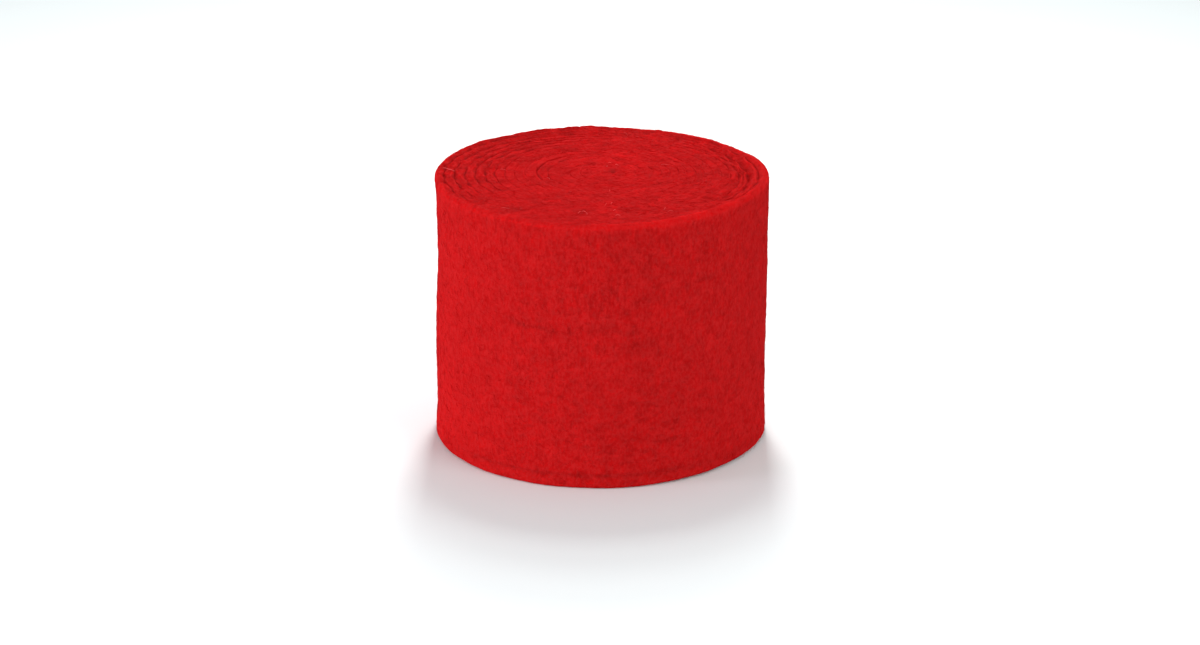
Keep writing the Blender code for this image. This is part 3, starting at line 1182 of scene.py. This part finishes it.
class FELTROLL_OT_strip(bpy.types.Operator):
    """Winds the felt strip, which stands for the plain solid"""

    bl_idname = "felt_roll.strip"
    bl_label = "Wind the Strip"
    bl_options = {"REGISTER", "UNDO"}

    def execute(self, context):
        strip = context.scene.felt_strip
        points, faces, wear_and_painted_light = strip_surface(strip)
        cut_ends = (len(faces) - 2, len(faces) - 1)
        made = make_object("wound_felt", points, faces, felt_finish(strip.colour), flat_groups=cut_ends)
        # Painted shade in the creases, and the wear with painted light and shade, for the felt's colour
        set_attribute(made, "painted_crease_shade", np.clip(creased(points) / CREASE_FULL_SHADE_DEPTH, 0.0, 1.0))
        set_attribute(made, "wear_and_painted_light", wear_and_painted_light)
        set_attribute(made, "nap", nap_at(points))
        dress(made)
        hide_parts(NODE)
        return {"FINISHED"}


class FELTROLL_OT_wool(bpy.types.Operator):
    """Strews the loose fibres over the felt"""

    bl_idname = "felt_roll.wool"
    bl_label = "Strew the Wool"
    bl_options = {"REGISTER", "UNDO"}

    def execute(self, context):
        strip = context.scene.felt_strip
        wool = context.scene.felt_wool
        red = wool_finish("loose_wool", strip.colour, dark=0.90, light=1.25, white=0.0)
        pale = wool_finish("pale_wool", strip.colour, dark=1.40, light=1.90, white=0.07)
        line = wind(strip)
        kinds = (
            ("edge_fibres", edge_fibres, EDGE_FIBRE, wool.edge_count, red),
            ("face_fibres", face_fibres, FACE_FIBRE, wool.face_count, red),
            ("standing_hairs", standing_hairs, HAIR, wool.hair_count, red),
            ("stray_fibres", stray_fibres, STRAY, wool.stray_count, pale),
        )
        for name, lay, kind, count, material in kinds:
            draw = np.random.default_rng(kind.seed)
            paths, share = lay(strip, line, draw, kind, count)
            thickness = wool.thickness * share * draw.uniform(*kind.thickness, len(paths))
            tones = draw.uniform(0.0, 1.0, len(paths))
            points, faces = fibre_tubes(paths, thickness)
            made = make_object(name, points, faces, material)
            set_attribute(made, "tone", np.repeat(tones, len(points) // max(len(paths), 1)))
            dress(made)
        return {"FINISHED"}


def soft_light(row, strength):
    """A square area light, a distance away from the middle of the roll and turned towards it."""
    data = bpy.data.lights.new(row["name"], "AREA")
    data.shape = "SQUARE"
    data.size = row["size"]
    data.energy = row["power"] * strength
    data.color = row["colour"]
    lamp = added(row["name"], data)
    direction = math.radians(row["direction"])
    rise = math.radians(row["elevation"])
    level = math.cos(rise)
    towards = Vector((level * math.cos(direction), level * math.sin(direction), math.sin(rise)))
    lamp.location = Vector((0.0, 0.0, AIM_HEIGHT)) + row["distance"] * towards
    lamp.rotation_euler = towards.to_track_quat("Z", "Y").to_euler()


class FELTROLL_OT_stage(bpy.types.Operator):
    """Adds the floor, the white room, the soft lights and the camera"""

    bl_idname = "felt_roll.stage"
    bl_label = "Set the Stage"
    bl_options = {"REGISTER", "UNDO"}

    def execute(self, context):
        scene = context.scene
        settings = scene.felt_stage
        half = settings.floor_size / 2.0
        corners = np.array(((-half, -half, 0.0), (half, -half, 0.0), (half, half, 0.0), (-half, half, 0.0)))
        paper = Shader("floor_paper", roughness=0.9, base_color=(*settings.floor_white, 1.0))
        floor = make_object("floor", corners, [np.array(((0, 1, 2, 3),))], paper.material)
        world = bpy.data.worlds.new("white_room")
        world.use_nodes = True
        room = world.node_tree.nodes["Background"]
        room.inputs["Color"].default_value = (*WHITE, 1.0)
        room.inputs["Strength"].default_value = settings.room_light
        scene.world = world
        for row in rows(LAMP_PLACES, LAMP_COLUMNS):
            soft_light(row, settings.lamp_light)
        scene.view_settings.view_transform = "Standard"
        add_camera(scene, settings)
        return {"FINISHED"}


def add_camera(scene, settings):
    """A camera on a line from the middle of the roll, back along -Y and up, leaning a little."""
    data = bpy.data.cameras.new("camera")
    data.lens = settings.camera_lens
    data.sensor_width = SENSOR_WIDTH
    data.shift_x, data.shift_y = SHIFT
    camera = added("camera", data)
    rise = settings.camera_elevation
    back = Vector((0.0, -math.cos(rise), math.sin(rise)))
    camera.location = Vector((0.0, 0.0, AIM_HEIGHT)) + settings.camera_distance * back
    level = Euler((math.pi / 2.0 - rise, 0.0, 0.0)).to_matrix()
    lean = Euler((0.0, 0.0, settings.camera_roll)).to_matrix()
    camera.rotation_euler = (level @ lean).to_euler()
    scene.camera = camera


class FELTROLL_PT_panel(bpy.types.Panel):
    """Lists the roll's steps and sizes."""

    bl_idname = "FELTROLL_PT_panel"
    bl_label = "Felt Roll"
    bl_space_type = "VIEW_3D"
    bl_region_type = "UI"
    bl_category = "Felt Roll"

    def draw(self, context):
        for step in STEPS:
            self.layout.operator(step.bl_idname)
        for group in (context.scene.felt_strip, context.scene.felt_wool, context.scene.felt_stage):
            box = self.layout.box()
            for name in group.__annotations__:
                box.prop(group, name)


STEPS = (FELTROLL_OT_stage, FELTROLL_OT_strip, FELTROLL_OT_wool)
GROUPS = {"felt_strip": StripSettings, "felt_wool": WoolSettings, "felt_stage": StageSettings}
CLASSES = (*GROUPS.values(), *STEPS, FELTROLL_PT_panel)


def register():
    """Makes the settings, operators and panel known to Blender."""
    for kind in CLASSES:
        bpy.utils.register_class(kind)
    for name, group in GROUPS.items():
        setattr(bpy.types.Scene, name, PointerProperty(type=group))


def unregister():
    """Takes them away again."""
    for name in GROUPS:
        delattr(bpy.types.Scene, name)
    for kind in reversed(CLASSES):
        bpy.utils.unregister_class(kind)


def main():
    """Runs the steps in order."""
    register()
    bpy.ops.felt_roll.stage()
    bpy.ops.felt_roll.strip()
    bpy.ops.felt_roll.wool()


if __name__ == "__main__":
    main()
